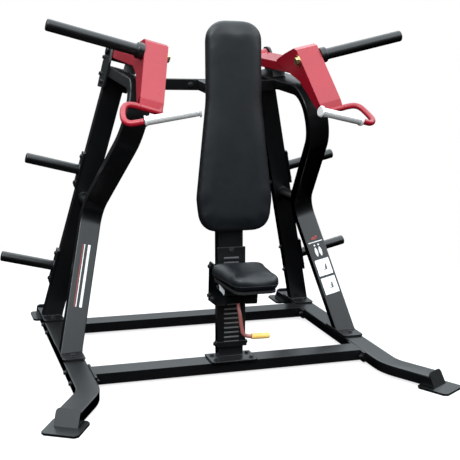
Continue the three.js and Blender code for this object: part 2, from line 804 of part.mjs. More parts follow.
for (const [label, side] of [['right', 1], ['left', -1]]) {
  const leaned = new THREE.Group();
  leaned.position.set(side * RAIL_X, 0, RAIL_TOP);
  leaned.rotation.y = -side * SIDE_LEAN;
  machine.add(leaned);

  const addLeaned = (name, geometry, finish) => {
    const handed = side > 0 ? geometry : geometry.scale(-1, 1, 1);
    leaned.add(piece(`${label}_${name}`, outward(handed), finish));
  };

  addLeaned('front_upright', frontUpright(), 'frame');
  addLeaned('rear_upright', rearUpright(), 'frame');
  addLeaned('round_brace', roundBrace(), 'frame');
  addLeaned('upper_storage_horn', storageHorn(STORAGE_HORN_V.upper), 'frame');
  addLeaned('lower_storage_horn', storageHorn(STORAGE_HORN_V.lower), 'frame');
  addLeaned('outer_pivot_ear', pivotEar(TUBE_WIDTH / 2 + GAP), 'frame');
  addLeaned('inner_pivot_ear', pivotEar(-TUBE_WIDTH / 2 - PLATE - GAP), 'frame');
  addLeaned('pivot_shaft', pivotShaft(), 'frame');
  addLeaned('stop_bumper', stopBumper(), 'rubber');
  addLeaned('lever_arm', leverArm(), 'arm');
  addLeaned('weight_horn', weightHorn(), 'frame');
  addLeaned('horn_bolt', hornBolt(), 'zinc');
  addLeaned('handle_tube', sweptRod(HANDLE_PATH, HANDLE_RADIUS, 44), 'arm');
  addLeaned('hand_grip', grip(), 'chrome');
  addLeaned('grip_cap', gripCap(), 'chrome');

  machine.add(piece(`${label}_floor_rail`, outward(floorRail(side)), 'frame'));

  const frontFoot = piece(`${label}_front_foot`, outward(foot(RAIL_FRONT_REACH, FRONT_FOOT_REACH)), 'frame');
  frontFoot.position.set(side * RAIL_X, RAIL_BEND_Y, 0);
  frontFoot.rotation.z = Math.PI + side * RAIL_SPLAY;
  machine.add(frontFoot);

  const rearFoot = piece(`${label}_rear_foot`, outward(foot(RAIL_REAR_Y, REAR_FOOT_Y)), 'frame');
  rearFoot.position.x = side * RAIL_X;
  machine.add(rearFoot);

  for (const [place, yFront, yRear] of [['front', 187, 410], ['rear', 798, 1000]]) {
    const plate = piece(`${label}_${place}_base_plate`, outward(basePlate(yFront, yRear)), 'frame');
    plate.position.x = side * RAIL_X;
    machine.add(plate);
  }

  if (side > 0) {
    leaned.add(placard('upper_placard', 316, 84));
    leaned.add(placard('lower_placard', 227, 86));
  }
}

const centrePieces = [
  ['front_crossbar', crossbar(FRONT_BAR_Y), 'frame'],
  ['rear_crossbar', crossbar(REAR_BAR_Y), 'frame'],
  ['top_tie', topTie(), 'frame'],
  ['centre_beam', centreBeam(), 'frame'],
];
const columnPieces = [
  ['centre_post', centrePost(), 'frame'],
  ['post_base_plate', postBasePlate(), 'frame'],
  ['slotted_plate', slottedPlate(), 'frame'],
  ['back_pad', backSlab(0, 0, BACK_PAD_THICKNESS, 12), 'vinyl'],
  ['back_board', backSlab(10, BACK_PAD_THICKNESS + GAP, BACK_PAD_THICKNESS + BOARD_THICKNESS, 0), 'board'],
  ['upper_back_bracket', backBracket(1120, 1190), 'frame'],
  ['lower_back_bracket', backBracket(760, 830), 'frame'],
  ['seat_carriage', seatCarriage(), 'frame'],
  ['front_glide', frontGlide(), 'nylon'],
  ['rear_glide', rearGlide(), 'nylon'],
  ['seat_board', upwards(seatOutline(10), SEAT_BOTTOM - BOARD_THICKNESS, SEAT_BOTTOM - GAP), 'board'],
  ['seat_pad', upwards(seatOutline(0), SEAT_BOTTOM, SEAT_TOP, 18), 'vinyl'],
  ['latch_lever', latchLever(), 'lever'],
  ['latch_grip', latchGrip(), 'yellow'],
];
const column = new THREE.Group();
column.position.y = COLUMN_Y;
machine.add(column);
for (const [group, pieces] of [[machine, centrePieces], [column, columnPieces]]) {
  for (const [name, geometry, finish] of pieces) {
    group.add(piece(name, outward(geometry), finish));
  }
}

// The origin goes to the middle of the footprint at floor height.
machine.updateMatrixWorld(true);
const footprint = new THREE.Box3().setFromObject(machine, true);
machine.position.y = -(footprint.min.y + footprint.max.y) / 2;

export default machine;
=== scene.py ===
"""Looks of the plate-loaded chest press machine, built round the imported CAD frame, in metres."""
import json
import math

import bmesh
import bpy
from mathutils import Matrix, Quaternion, Vector
from mathutils.bvhtree import BVHTree


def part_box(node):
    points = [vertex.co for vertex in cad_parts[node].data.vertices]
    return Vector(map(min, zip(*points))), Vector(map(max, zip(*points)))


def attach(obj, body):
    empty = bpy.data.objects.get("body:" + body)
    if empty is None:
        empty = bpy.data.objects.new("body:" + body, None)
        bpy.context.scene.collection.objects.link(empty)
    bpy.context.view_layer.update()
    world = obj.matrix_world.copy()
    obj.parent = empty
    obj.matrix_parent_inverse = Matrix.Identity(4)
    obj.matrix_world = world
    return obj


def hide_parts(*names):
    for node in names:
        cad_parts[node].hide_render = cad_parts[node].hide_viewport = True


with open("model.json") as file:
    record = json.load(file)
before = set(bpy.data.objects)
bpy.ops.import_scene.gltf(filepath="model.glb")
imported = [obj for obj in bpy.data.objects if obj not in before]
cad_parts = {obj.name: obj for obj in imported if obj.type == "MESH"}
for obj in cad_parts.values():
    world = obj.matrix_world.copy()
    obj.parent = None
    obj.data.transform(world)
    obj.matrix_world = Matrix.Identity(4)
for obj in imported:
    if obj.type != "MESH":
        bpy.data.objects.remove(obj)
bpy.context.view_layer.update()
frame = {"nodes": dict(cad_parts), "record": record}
NODES = frame["nodes"]

# ---- Layout of the CAD frame ----
SIDE_LEAN = 0.242        # inward lean of both side frames
RAIL_X = 0.692           # centre of each floor rail
RAIL_TOP = 0.060
BASE_PLATE_TOP = RAIL_TOP + 0.010
FLANGE_REACH = 0.038     # how far a crossbar's end flange stands out past its tube
Y0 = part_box("front_crossbar")[0].y + FLANGE_REACH   # front face of the front crossbar's tube
COLUMN_Y = Y0 - 0.008    # reference depth of the centre post, back rest and seat
POST_SLOPE = 0.0817
BACK_SLOPE = 0.1
HORN_HEIGHTS = (0.783, 0.270)     # storage horns, along the leaned frame
FLANGE_FACE = 0.0603     # outer face of the horn flanges and pivot ears, from the frame's middle
LEG_SLOPE = math.atan2(0.283, 0.638)   # backward slope of the front legs
SLOT_COUNT = 19
SLOT_FIRST = 0.141
SLOT_PITCH = 0.0213
CLAMP_Z = 0.129          # height of the strap that holds the foot of the slotted plate
TOP_BOLT_Z = 0.557       # bolt at the top of the slotted plate, just above the raised seat glide


def at_side(side, u, t, v):
    """Point of a leaned side frame: u outwards, t to the rear, v up along the frame."""
    x = RAIL_X + u * math.cos(SIDE_LEAN) - v * math.sin(SIDE_LEAN)
    z = RAIL_TOP + u * math.sin(SIDE_LEAN) + v * math.cos(SIDE_LEAN)
    return Vector((side * x, Y0 + t, z))


def side_axis(side, u=0.0, t=0.0, v=0.0):
    """Direction in a leaned side frame."""
    return (at_side(side, u, t, v) - at_side(side, 0, 0, 0)).normalized()


def leg_front(v):
    """Depth of a front leg's front face at a height along the frame."""
    return 0.271 + math.tan(LEG_SLOPE) * (v + 0.006)


def rear_face(v):
    """Depth of a rear upright's rear face at a height along the frame."""
    return 0.8785 - 0.113 * v


def plate_front(z):
    """Front face of the slotted plate."""
    return COLUMN_Y + 0.0433 + POST_SLOPE * z


# ---- Camera ----
YAW = 0.339
PITCH = -0.198
ROLL = 0.027
CAMERA_PLACE = (-1.3306, Y0 - 3.7271, 1.4672)


def add_camera():
    forward = Vector((math.sin(YAW) * math.cos(PITCH), math.cos(YAW) * math.cos(PITCH), math.sin(PITCH)))
    right = Vector((math.cos(YAW), -math.sin(YAW), 0))
    up = right.cross(forward)
    right, up = (
        math.cos(ROLL) * right + math.sin(ROLL) * up,
        math.cos(ROLL) * up - math.sin(ROLL) * right,
    )
    data = bpy.data.cameras.new("camera")
    data.sensor_width = 36
    data.lens = 71.95
    data.shift_x = -0.0102
    data.shift_y = -0.0034
    data.clip_end = 60
    camera = bpy.data.objects.new("camera", data)
    turn = Matrix((right, up, -forward)).transposed().to_4x4()
    camera.matrix_world = Matrix.Translation(CAMERA_PLACE) @ turn
    bpy.context.scene.collection.objects.link(camera)
    bpy.context.scene.camera = camera


# ---- Light and floor ----
SKY_BELOW = 0.02         # strength of the sky straight down
SKY_TOP = 3.0            # strength of the sky straight up
# Strengths in between, each at a height that runs from 0 straight down to 1 straight up.
SKY_STEPS = ((0.49, 0.03), (0.53, 0.07), (0.62, 0.13), (0.72, 2.15), (0.86, 2.95))
SKY_TINT = (0.86, 0.95, 1.0, 1)
FLOOR_HALF_SIZE = 14
FLOOR_DROP = 0.0005      # keeps the floor clear of the feet
FADE_FROM = 0.9          # distance from the middle where the floor starts to glow white
FADE_TO = 2.6
FADE_START = 0.72        # share of glow inside that distance


def add_area_light(name, place, target, size, watts, mirrored=True):
    data = bpy.data.lights.new(name, "AREA")
    data.shape = "RECTANGLE"
    data.size, data.size_y = size
    data.energy = watts
    lamp = bpy.data.objects.new(name, data)
    direction = Vector(target) - Vector(place)
    lamp.rotation_euler = direction.to_track_quat("-Z", "Y").to_euler()
    lamp.location = place
    lamp.visible_glossy = mirrored
    bpy.context.scene.collection.objects.link(lamp)


def add_world():
    """White to the camera; to the object a sky that is bright overhead and dark below the horizon."""
    world = bpy.data.worlds.new("studio")
    bpy.context.scene.world = world
    world.use_nodes = True
    tree = world.node_tree
    background = tree.nodes["Background"]
    direction = tree.nodes.new("ShaderNodeTexCoord").outputs["Generated"]
    split = tree.nodes.new("ShaderNodeSeparateXYZ")
    tree.links.new(direction, split.inputs["Vector"])
    sky = tree.nodes.new("ShaderNodeFloatCurve")
    curve = sky.mapping.curves[0]
    curve.points[0].location = (0.0, SKY_BELOW / SKY_TOP)
    curve.points[1].location = (1.0, 1.0)
    for height, strength in SKY_STEPS:
        curve.points.new(height, strength / SKY_TOP)
    sky.mapping.update()
    level = tree.nodes.new("ShaderNodeMapRange")
    level.inputs["From Min"].default_value = -1.0
    tree.links.new(split.outputs["Z"], level.inputs["Value"])
    tree.links.new(level.outputs["Result"], sky.inputs["Value"])
    scaled = tree.nodes.new("ShaderNodeMath")
    scaled.operation = "MULTIPLY"
    scaled.inputs[1].default_value = SKY_TOP
    tree.links.new(sky.outputs["Value"], scaled.inputs[0])
    seen = tree.nodes.new("ShaderNodeLightPath").outputs["Is Camera Ray"]
    tint = tree.nodes.new("ShaderNodeMix")
    tint.data_type = "RGBA"
    tint.inputs["A"].default_value = SKY_TINT
    tint.inputs["B"].default_value = (1, 1, 1, 1)
    tree.links.new(seen, tint.inputs["Factor"])
    tree.links.new(tint.outputs["Result"], background.inputs["Color"])
    mix = tree.nodes.new("ShaderNodeMix")
    tree.links.new(seen, mix.inputs["Factor"])
    tree.links.new(scaled.outputs["Value"], mix.inputs["A"])
    mix.inputs["B"].default_value = 1.0
    tree.links.new(mix.outputs["Result"], background.inputs["Strength"])


def add_floor():
    """Pale floor that keeps the faint contact shadows and fades into the white background."""
    mesh = bpy.data.meshes.new("floor")
    shell = bmesh.new()
    bmesh.ops.create_grid(shell, x_segments=1, y_segments=1, size=FLOOR_HALF_SIZE)
    shell.to_mesh(mesh)
    shell.free()
    floor = bpy.data.objects.new("floor", mesh)
    floor.location.z = -FLOOR_DROP
    floor.visible_glossy = False
    floor.visible_diffuse = False
    bpy.context.scene.collection.objects.link(floor)
    material = bpy.data.materials.new("floor")
    material.use_nodes = True
    tree = material.node_tree
    surface = tree.nodes["Principled BSDF"]
    surface.inputs["Base Color"].default_value = (0.95, 0.95, 0.95, 1)
    surface.inputs["Roughness"].default_value = 0.9
    surface.inputs["Specular IOR Level"].default_value = 0.0
    glow = tree.nodes.new("ShaderNodeEmission")
    place = tree.nodes.new("ShaderNodeTexCoord").outputs["Object"]
    distance = tree.nodes.new("ShaderNodeVectorMath")
    distance.operation = "LENGTH"
    tree.links.new(place, distance.inputs[0])
    fade = tree.nodes.new("ShaderNodeMapRange")
    fade.inputs["From Min"].default_value = FADE_FROM
    fade.inputs["From Max"].default_value = FADE_TO
    fade.inputs["To Min"].default_value = FADE_START
    tree.links.new(distance.outputs["Value"], fade.inputs["Value"])
    blend = tree.nodes.new("ShaderNodeMixShader")
    tree.links.new(fade.outputs["Result"], blend.inputs["Fac"])
    tree.links.new(surface.outputs["BSDF"], blend.inputs[1])
    tree.links.new(glow.outputs["Emission"], blend.inputs[2])
    tree.links.new(blend.outputs["Shader"], tree.nodes["Material Output"].inputs["Surface"])
    floor.data.materials.append(material)


def add_studio():
    bpy.context.scene.view_settings.view_transform = "Standard"
    add_world()
    add_floor()
    add_area_light("key_light", (-2.2, -3.0, 4.2), (0, 0, 0.9), (2.4, 1.8), 90)
    add_area_light("fill_light", (3.2, -2.4, 3.4), (0, 0, 0.7), (1.6, 2.2), 40)
    add_area_light("front_fill", (-1.6, -4.2, 1.6), (0, 0, 0.8), (3.0, 2.4), 110, mirrored=False)


# ---- Materials ----
def new_material(name, roughness, metallic=0.0, **sockets):
    material = bpy.data.materials.new(name)
    material.use_nodes = True
    surface = material.node_tree.nodes["Principled BSDF"]
    surface.inputs["Roughness"].default_value = roughness
    surface.inputs["Metallic"].default_value = metallic
    for socket, value in sockets.items():
        surface.inputs[socket.replace("_", " ")].default_value = value
    return material, material.node_tree, surface


def add_node(tree, kind, inputs=None, **values):
    node = tree.nodes.new(kind)
    for key, value in values.items():
        setattr(node, key, value)
    for key, value in (inputs or {}).items():
        if isinstance(value, bpy.types.NodeSocket):
            tree.links.new(value, node.inputs[key])
        else:
            node.inputs[key].default_value = value
    return node


def object_coordinates(tree):
    return add_node(tree, "ShaderNodeTexCoord").outputs["Object"]


def noise(tree, coordinates, scale, detail=3.0, roughness=0.5):
    return add_node(tree, "ShaderNodeTexNoise", {
        "Vector": coordinates, "Scale": scale, "Detail": detail, "Roughness": roughness,
    }).outputs["Fac"]


def ramp(tree, factor, low, high, start=0.0, end=1.0):
    node = add_node(tree, "ShaderNodeValToRGB", {"Fac": factor})
    node.color_ramp.elements[0].position = start
    node.color_ramp.elements[1].position = end
    node.color_ramp.elements[0].color = (*low, 1)
    node.color_ramp.elements[1].color = (*high, 1)
    return node.outputs["Color"]


def mapped(tree, factor, low, high):
    inputs = {"Value": factor, "To Min": low, "To Max": high}
    return add_node(tree, "ShaderNodeMapRange", inputs).outputs["Result"]


def bumps(tree, surface, *layers):
    """Stacks bump layers of (height, strength, distance) on the surface."""
    normal = None
    for height, strength, distance in layers:
        inputs = {"Height": height, "Strength": strength, "Distance": distance}
        if normal:
            inputs["Normal"] = normal
        normal = add_node(tree, "ShaderNodeBump", inputs).outputs["Normal"]
    tree.links.new(normal, surface.inputs["Normal"])


def powder_coat(name, dark, light, roughness):
    """Baked powder paint: fine orange peel, uneven gloss and a little dust in large soft patches."""
    material, tree, surface = new_material(name, roughness, Coat_Weight=0.12, Coat_Roughness=0.25)
    coordinates = object_coordinates(tree)
    patches = noise(tree, coordinates, 2.3, 5)
    peel = noise(tree, coordinates, 900, 2)
    flow = noise(tree, coordinates, 160, 2)
    tree.links.new(ramp(tree, patches, dark, light, 0.3, 0.75), surface.inputs["Base Color"])
    smudge = noise(tree, coordinates, 14, 6, 0.65)
    gloss = mapped(tree, smudge, roughness - 0.07, roughness + 0.1)
    tree.links.new(gloss, surface.inputs["Roughness"])
    bumps(tree, surface, (flow, 0.08, 0.002), (peel, 0.25, 0.0004))
    return material


def vinyl(name):
    """Upholstery vinyl: pebble grain, finer pores and soft creases."""
    material, tree, surface = new_material(name, 0.4, Specular_IOR_Level=0.45)
    coordinates = object_coordinates(tree)
    pebbles = add_node(tree, "ShaderNodeTexVoronoi", {"Vector": coordinates, "Scale": 620.0},
                       feature="SMOOTH_F1").outputs["Distance"]
    pores = noise(tree, coordinates, 2100, 2)
    creases = noise(tree, coordinates, 22, 4, 0.6)
    patches = noise(tree, coordinates, 5, 4)
    tree.links.new(ramp(tree, patches, (0.0024, 0.0030, 0.0040), (0.0062, 0.0074, 0.0092), 0.3, 0.7),
                   surface.inputs["Base Color"])
    tree.links.new(mapped(tree, creases, 0.34, 0.48), surface.inputs["Roughness"])
    bumps(tree, surface, (creases, 0.12, 0.003), (pebbles, 0.35, 0.0006), (pores, 0.12, 0.0002))
    return material


def polished(name, colour, roughness):
    """Plated steel with faint polishing marks."""
    material, tree, surface = new_material(name, roughness, 1.0)
    coordinates = object_coordinates(tree)
    marks = noise(tree, coordinates, 260, 3)
    stains = noise(tree, coordinates, 18, 4)
    low = tuple(0.82 * channel for channel in colour)
    tree.links.new(ramp(tree, stains, low, colour, 0.25, 0.7), surface.inputs["Base Color"])
    tree.links.new(mapped(tree, stains, roughness + 0.06, roughness - 0.03), surface.inputs["Roughness"])
    bumps(tree, surface, (marks, 0.06, 0.0003))
    return material


def satin_chrome(name):
    """Bright plated grip with a fine diamond knurl."""
    material, tree, surface = new_material(name, 0.2, 0.55)
    coordinates = object_coordinates(tree)
    waves = [
        add_node(tree, "ShaderNodeTexWave", {
            "Vector": add_node(tree, "ShaderNodeMapping", {
                "Vector": coordinates, "Rotation": (0.0, turn, turn / 2)}).outputs["Vector"],
            "Scale": 150.0,
        }).outputs["Fac"]
        for turn in (0.8, -0.8)
    ]
    stains = noise(tree, coordinates, 18, 4)
    tree.links.new(ramp(tree, stains, (0.82, 0.83, 0.84), (0.93, 0.93, 0.93), 0.25, 0.7),
                   surface.inputs["Base Color"])
    tree.links.new(mapped(tree, stains, 0.26, 0.17), surface.inputs["Roughness"])
    bumps(tree, surface, (waves[0], 0.12, 0.0004), (waves[1], 0.12, 0.0004))
    return material


def moulded(name, dark, light, roughness, scale=420.0, strength=0.2):
    """Moulded rubber, plastic or painted board with a fine spark-eroded texture."""
    material, tree, surface = new_material(name, roughness)
    coordinates = object_coordinates(tree)
    patches = noise(tree, coordinates, 11, 4)
    texture = noise(tree, coordinates, scale, 3)
    tree.links.new(ramp(tree, patches, dark, light, 0.3, 0.7), surface.inputs["Base Color"])
    tree.links.new(mapped(tree, patches, roughness - 0.06, roughness + 0.06), surface.inputs["Roughness"])
    bumps(tree, surface, (texture, strength, 0.0005))
    return material


MATERIALS = {
    "frame": powder_coat("black_powder_coat", (0.0024, 0.0025, 0.0027), (0.0046, 0.0047, 0.0050), 0.30),
    "arm": powder_coat("red_powder_coat", (0.24, 0.006, 0.014), (0.31, 0.009, 0.021), 0.28),
    "vinyl": vinyl("black_vinyl"),
    "board": moulded("black_board", (0.0030, 0.0030, 0.0032), (0.0055, 0.0054, 0.0054), 0.75, 90.0, 0.3),
    "chrome": satin_chrome("chrome"),
    "zinc": polished("yellow_zinc", (0.86, 0.70, 0.36), 0.28),
    "rubber": moulded("rubber", (0.02, 0.021, 0.022), (0.045, 0.045, 0.047), 0.7),
    "lever": powder_coat("lever_paint", (0.24, 0.075, 0.070), (0.32, 0.11, 0.10), 0.3),
    "yellow": moulded("yellow_grip", (0.70, 0.42, 0.10), (0.82, 0.54, 0.16), 0.4),
    "nylon": moulded("nylon", (0.05, 0.051, 0.053), (0.085, 0.086, 0.088), 0.5),
    "placard": moulded("placard", (0.78, 0.84, 0.86), (0.88, 0.92, 0.93), 0.4, 300.0, 0.05),
    "black_fastener": moulded("black_oxide", (0.006, 0.006, 0.0065), (0.014, 0.014, 0.014),
                              0.32, 700.0, 0.1),
    # painted highlight: lighter grey for the lit teeth inside the latch plate's slots
    "slot_highlight": moulded("slot_highlight_grey", (0.085, 0.09, 0.092), (0.13, 0.135, 0.14), 0.4, 300.0, 0.1),
    "white_ink": moulded("white_ink", (0.62, 0.62, 0.62), (0.74, 0.74, 0.74), 0.5, 300.0, 0.05),
    "red_ink": moulded("red_ink", (0.22, 0.02, 0.02), (0.30, 0.035, 0.03), 0.5, 300.0, 0.05),
    "grey_ink": moulded("grey_ink", (0.055, 0.06, 0.062), (0.10, 0.105, 0.11), 0.5, 300.0, 0.05),
}
SLOT_OF = {row["node"]: row["material_slot"] for row in frame["record"]["subparts"]}


# ---- CAD nodes that stay ----
ROUNDED = {"frame": 0.0025, "arm": 0.0025, "board": 0.002, "nylon": 0.002, "rubber": 0.003}
ROUNDED_OTHERS = 0.001
WELD_DISTANCE = 0.00005
ROUND_ABOVE_ANGLE = math.radians(38)


def round_edges(piece, width):
    bevel = piece.modifiers.new("round_edges", "BEVEL")
    bevel.width = width
    bevel.segments = 2
    return bevel


def dress_cad_nodes():
    """Gives each CAD node its finish, rounds its edges and smooths its shading."""
    for name, node in NODES.items():
        slot = SLOT_OF[name]
        node.data.materials.clear()
        node.data.materials.append(MATERIALS[slot])
        weld = node.modifiers.new("weld", "WELD")
        weld.merge_threshold = WELD_DISTANCE
        bevel = round_edges(node, ROUNDED.get(slot, ROUNDED_OTHERS))
        bevel.limit_method = "ANGLE"
        bevel.angle_limit = ROUND_ABOVE_ANGLE
        flat = node.modifiers.new("flat_faces", "WEIGHTED_NORMAL")
        flat.weight = 60
        node.data.polygons.foreach_set("use_smooth", [True] * len(node.data.polygons))


# ---- New pieces ----
def add_piece(name, mesh, body, slot, finish=None):
    piece = bpy.data.objects.new(name, mesh)
    mesh.materials.append(MATERIALS[finish or slot])
    bpy.context.scene.collection.objects.link(piece)
    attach(piece, body)
    return piece


def mesh_from(name, shell, smooth=True):
    mesh = bpy.data.meshes.new(name)
    bmesh.ops.recalc_face_normals(shell, faces=shell.faces)
    for face in shell.faces:
        face.smooth = smooth
    shell.to_mesh(mesh)
    shell.free()
    return mesh


def on_circle(radius, k, count, height=0.0):
    """Point k of count on a circle about the z axis."""
    angle = 2 * math.pi * k / count
    return Vector((radius * math.cos(angle), radius * math.sin(angle), height))


def lathe(shell, profile, place, direction, sides):
    """Adds a closed turned body: (radius, height) pairs from the axis to the axis."""
    turn = Vector((0, 0, 1)).rotation_difference(direction)
    rings = []
    for radius, height in profile:
        if radius == 0:
            rings.append([shell.verts.new(Vector(place) + turn @ Vector((0, 0, height)))])
            continue
        rings.append([
            shell.verts.new(Vector(place) + turn @ on_circle(radius, k, sides, height))
            for k in range(sides)
        ])
    for near, far in zip(rings, rings[1:]):
        for k in range(sides):
            corners = [near[k % len(near)], near[(k + 1) % len(near)]]
            corners += [far[(k + 1) % len(far)], far[k % len(far)]]
            shell.faces.new(list(dict.fromkeys(corners)))


BOLT = 0.0095            # half the width across the corners of a hex head


def add_bolt(shell, place, direction, thread):
    """Washer and chamfered hex head; a nut also shows the end of its thread."""
    washer = 0.18 * BOLT
    top = washer + 0.8 * BOLT
    end = top + 0.45 * BOLT
    rim, hub = 1.45 * BOLT, 0.52 * BOLT
    lathe(shell, [(0, 0), (rim, 0), (rim, washer * 0.7), (1.35 * BOLT, washer), (0, washer)],
          place, direction, 28)
    lathe(shell, [(0, washer), (BOLT, washer), (BOLT, top - 0.12 * BOLT), (0.86 * BOLT, top), (0, top)],
          place, direction, 6)
    if thread:
        lathe(shell, [(0, top), (hub, top), (hub, end - 0.1 * BOLT), (0.42 * BOLT, end), (0, end)],
              place, direction, 20)


def add_bolts(name, body, bolts):
    """One piece for a group of fasteners, each as (place, direction, thread)."""
    shell = bmesh.new()
    for place, direction, thread in bolts:
        add_bolt(shell, place, direction, thread)
    piece = add_piece(name, mesh_from(name, shell, smooth=False), body, "frame", "black_fastener")
    round_edges(piece, 0.0005)


# Bolts, as depths from the front crossbar's face.
BASE_PLATE_BOLTS = (0.232, 0.380, 0.838, 0.968)
CROSSBAR_BOLTS = (-0.019, 0.119, 0.706, 0.844)
CROSSBAR_BOLT_Z = 0.035
# Ear bolts as (depth, height along the frame); the first two go through a spacer.
EAR_BOLTS = ((0.834, 1.352), (0.830, 1.270), (0.762, 1.232))
SPACER_RADIUS = 0.008
SPACER_LENGTH = 0.1005
# Carriage bolts as (depth behind the column's reference, height).
CARRIAGE_BOLTS = ((0.172, 0.468), (0.172, 0.330), (0.128, 0.324), (0.039, 0.402))
CARRIAGE_HALF_WIDTH = 0.074


def add_side_bolts(label, side):
    up = Vector((0, 0, 1))
    outwards = Vector((side, 0, 0))
    plates = [(Vector((side * RAIL_X, Y0 + y, BASE_PLATE_TOP)), up, False) for y in BASE_PLATE_BOLTS]
    add_bolts(f"{label}_base_plate_bolts", "frame", plates)
    rails = []
    for y in CROSSBAR_BOLTS:
        rails.append((Vector((side * (RAIL_X + 0.050), Y0 + y, CROSSBAR_BOLT_Z)), outwards, False))
        rails.append((Vector((side * (RAIL_X - 0.0605), Y0 + y, CROSSBAR_BOLT_Z)), -outwards, True))
    add_bolts(f"{label}_rail_bolts", "frame", rails)
    across = side_axis(side, u=1)
    horns = []
    for centre in HORN_HEIGHTS:
        for v in (centre - 0.068, centre + 0.068):
            t = rear_face(v) + 0.025
            horns.append((at_side(side, FLANGE_FACE, t, v), across, False))
            horns.append((at_side(side, -0.050, t, v), -across, True))
    add_bolts(f"{label}_horn_flange_bolts", "frame", horns)
    ears = []
    for t, v in EAR_BOLTS:
        ears.append((at_side(side, FLANGE_FACE, t, v), across, False))
        ears.append((at_side(side, -FLANGE_FACE, t, v), -across, True))
    add_bolts(f"{label}_ear_bolts", "frame", ears)
    spacers = bmesh.new()
    for t, v in EAR_BOLTS[:2]:
        lathe(spacers, [(0, 0), (SPACER_RADIUS, 0), (SPACER_RADIUS, SPACER_LENGTH), (0, SPACER_LENGTH)],
              at_side(side, -SPACER_LENGTH / 2, t, v), across, 24)
    add_piece(f"{label}_ear_spacers", mesh_from(f"{label}_ear_spacers", spacers), "frame", "frame")


def add_frame_bolts():
    for label, side in (("right", 1), ("left", -1)):
        add_side_bolts(label, side)
    centre = [(Vector((x, Y0 + 0.490, 1.272)), Vector((0, -1, 0)), False) for x in (-0.085, 0.085)]
    centre += [(Vector((side * 0.084, COLUMN_Y + y, BASE_PLATE_TOP)), Vector((0, 0, 1)), False)
               for side in (-1, 1) for y in (0.018, 0.082)]
    plate_out = Vector((0, -1, POST_SLOPE)).normalized()
    centre += [(Vector((0, plate_front(TOP_BOLT_Z), TOP_BOLT_Z)), plate_out, False)]
    centre += [(Vector((side * 0.0715, plate_front(CLAMP_Z) + 0.018, CLAMP_Z)), Vector((side, 0, 0)), False)
               for side in (-1, 1)]
    add_bolts("post_bolts", "frame", centre)
    seat_sides = [
        (Vector((side * CARRIAGE_HALF_WIDTH, COLUMN_Y + y, z)), Vector((side, 0, 0)), False)
        for side in (-1, 1) for y, z in CARRIAGE_BOLTS
    ]
    add_bolts("carriage_bolts", "seat", seat_sides)


# ---- Weld beads ----
BEAD_RADIUS = 0.0028
BEAD_STEP = 0.0035
HORN_BEAD_RADIUS = 0.0262
RIPPLE = (0.86, 0.16, 1.9)   # mean thickness of a bead, its swing, and its phase from point to point


def even_loop(points, step):
    """The closed loop walked again at even steps."""
    walk = []
    for here, ahead in zip(points, points[1:] + points[:1]):
        count = max(1, round((ahead - here).length / step))
        walk += [here.lerp(ahead, k / count) for k in range(count)]
    return walk


def tube_mesh(name, loops, radius, rippled):
    """Round tubes along closed loops of points."""
    mean, swing, phase = RIPPLE
    curve = bpy.data.curves.new(name, "CURVE")
    curve.dimensions = "3D"
    curve.bevel_depth = radius
    curve.bevel_resolution = 2
    for points in loops:
        spline = curve.splines.new("POLY")
        spline.points.add(len(points) - 1)
        for k, (point, place) in enumerate(zip(spline.points, points)):
            point.co = (*place, 1)
            if rippled:
                point.radius = mean + swing * math.sin(phase * k)
        spline.use_cyclic_u = True
        spline.use_smooth = True
    holder = bpy.data.objects.new(name + "_curve", curve)
    bpy.context.scene.collection.objects.link(holder)
    mesh = bpy.data.meshes.new_from_object(holder.evaluated_get(bpy.context.evaluated_depsgraph_get()))
    bpy.data.objects.remove(holder)
    mesh.name = name
    return mesh


def add_bead(name, body, loops):
    """Rippled weld beads along closed loops of points."""
    walks = [even_loop(loop, BEAD_STEP) for loop in loops]
    add_piece(name, tube_mesh(name, walks, BEAD_RADIUS, rippled=True), body, "frame")


def ring(centre, axis, radius):
    turn = Vector((0, 0, 1)).rotation_difference(axis)
    return [centre + turn @ on_circle(radius, k, 40) for k in range(40)]


def lowest_loop(node):
    """Convex outline of a node's flat bottom."""
    places = [NODES[node].matrix_world @ vertex.co for vertex in NODES[node].data.vertices]
    floor = min(place.z for place in places)
    flat = [place for place in places if place.z < floor + 0.0005]
    middle = sum(flat, Vector()) / len(flat)
    flat.sort(key=lambda place: math.atan2(place.y - middle.y, place.x - middle.x))
    return [Vector((place.x, place.y, floor)) for place in flat]


def brace_end(node, side, front):
    """The loop where a round brace meets its upright, in order round the tube."""
    places = [NODES[node].matrix_world @ vertex.co for vertex in NODES[node].data.vertices]
    middle = sum(places, Vector()) / len(places)
    end = [place for place in places if (place.y < middle.y) == front]
    across, along = side_axis(side, u=1), side_axis(side, v=1)
    end.sort(key=lambda place: math.atan2((place - middle).dot(along), (place - middle).dot(across)))
    return end


def add_welds():
    for label, side in (("right", 1), ("left", -1)):
        across = side_axis(side, u=1)
        loops = [lowest_loop(f"{label}_front_upright"), lowest_loop(f"{label}_rear_upright")]
        loops += [brace_end(f"{label}_round_brace", side, front) for front in (True, False)]
        for v in HORN_HEIGHTS:
            foot = at_side(side, FLANGE_FACE, rear_face(v) + 0.025, v)
            loops.append(ring(foot, across, HORN_BEAD_RADIUS))
        add_bead(f"{label}_frame_welds", "frame", loops)
        arm_horn = at_side(side, 0.0803, 0.115, 1.394)
        add_bead(f"{label}_horn_weld", f"{label}_arm", [ring(arm_horn, across, HORN_BEAD_RADIUS)])
    add_bead("post_welds", "frame", [lowest_loop("centre_post")])
